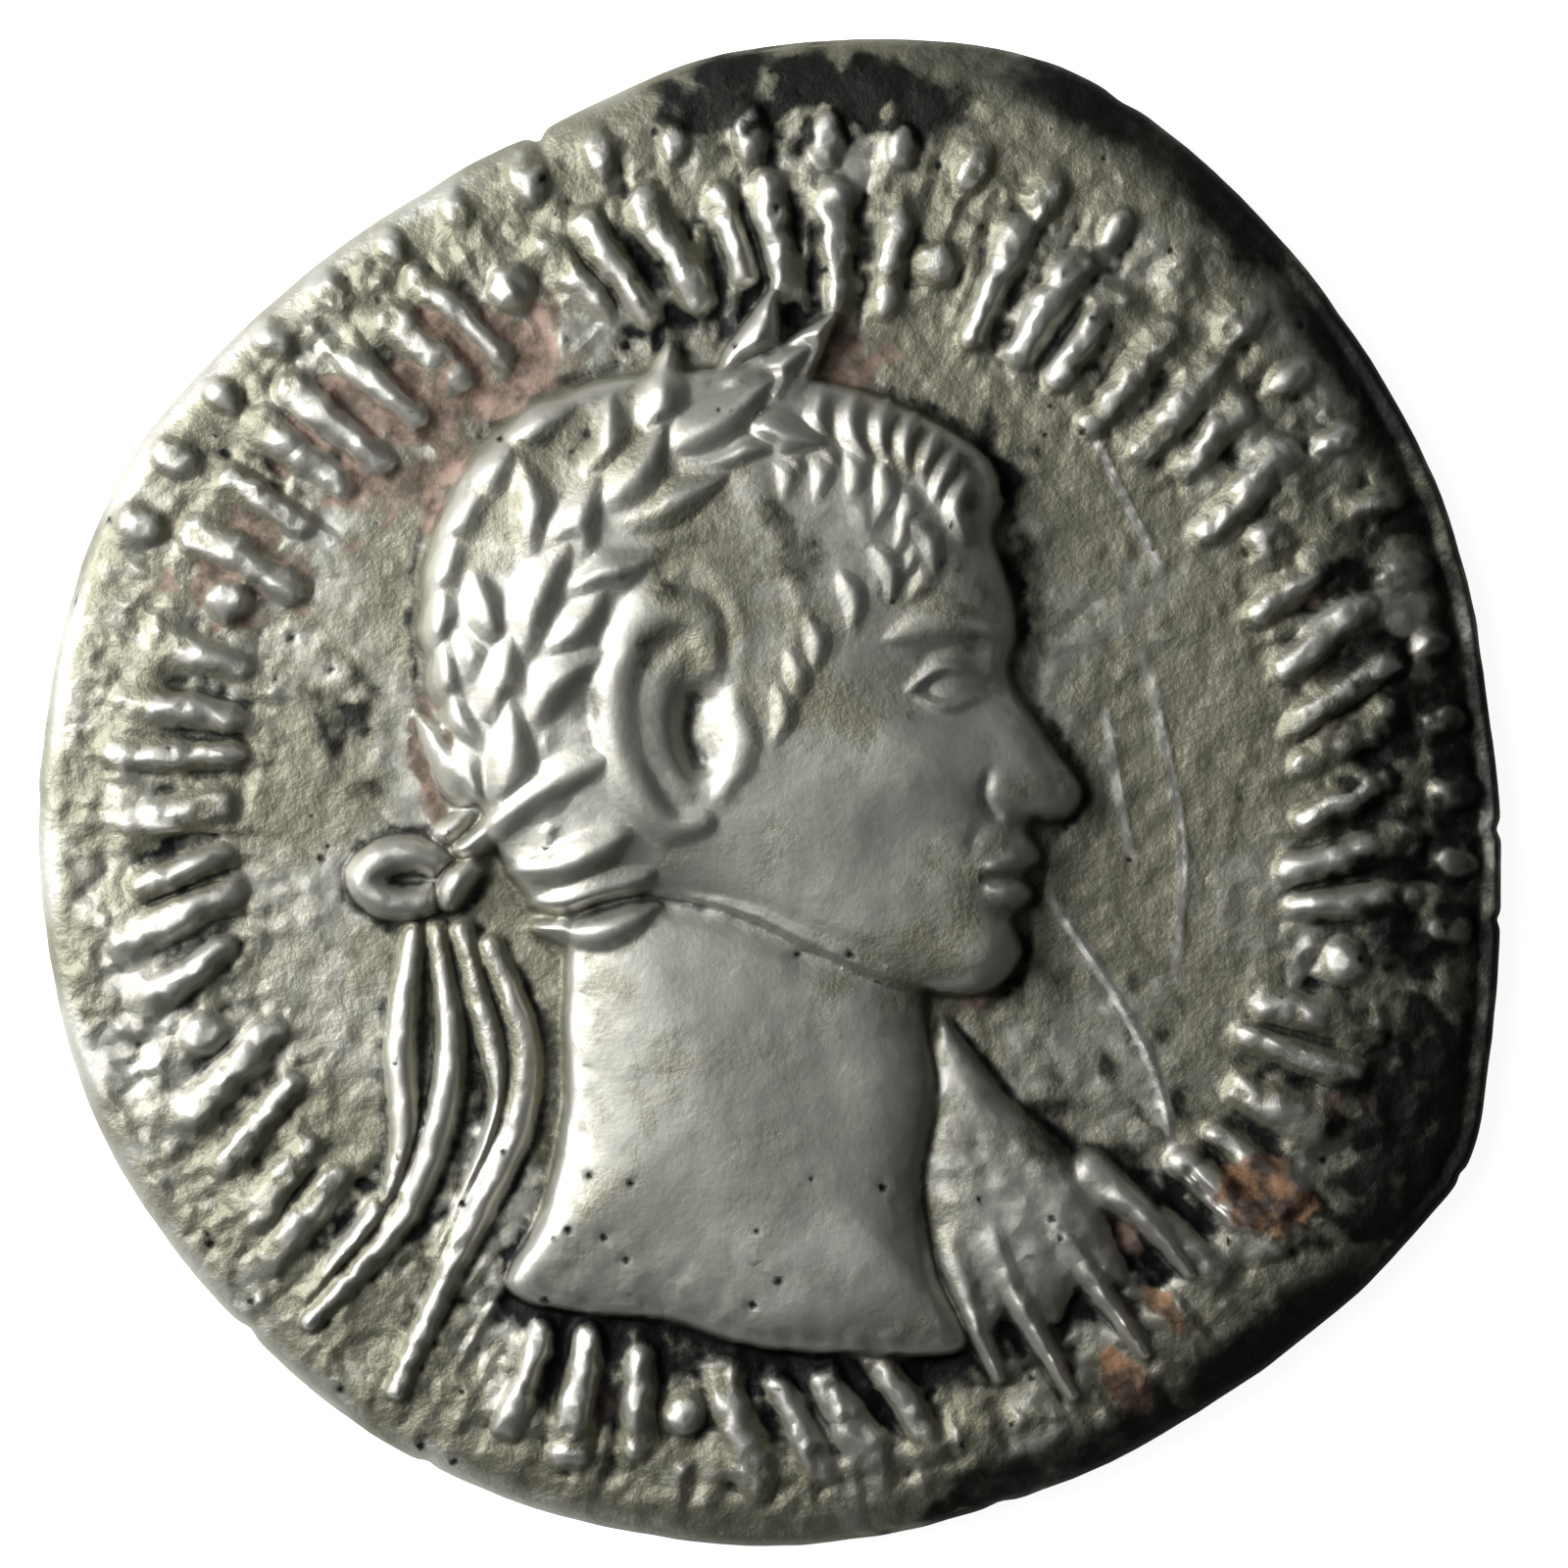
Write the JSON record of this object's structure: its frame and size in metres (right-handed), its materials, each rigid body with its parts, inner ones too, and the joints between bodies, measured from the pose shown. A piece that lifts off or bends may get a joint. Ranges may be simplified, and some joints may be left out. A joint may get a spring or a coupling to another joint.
{
  "type": "denarius coin",
  "caption": "Small struck silver coin with an uneven hammered outline, a laureate head in relief on one side and a standing figure on the other.",
  "frame": {"origin": "on the surface that the coin lies on, under the middle of its outline", "axes": "+Z out of the portrait side, +Y towards the top of the portrait, +X the way it faces"},
  "size_m": [0.0182, 0.0188, 0.0023],
  "materials": {
    "silver": "worn, toned dark in the recesses"
  },
  "bodies": {
    "root": {"coin": "silver"}
  },
  "joints": []
}
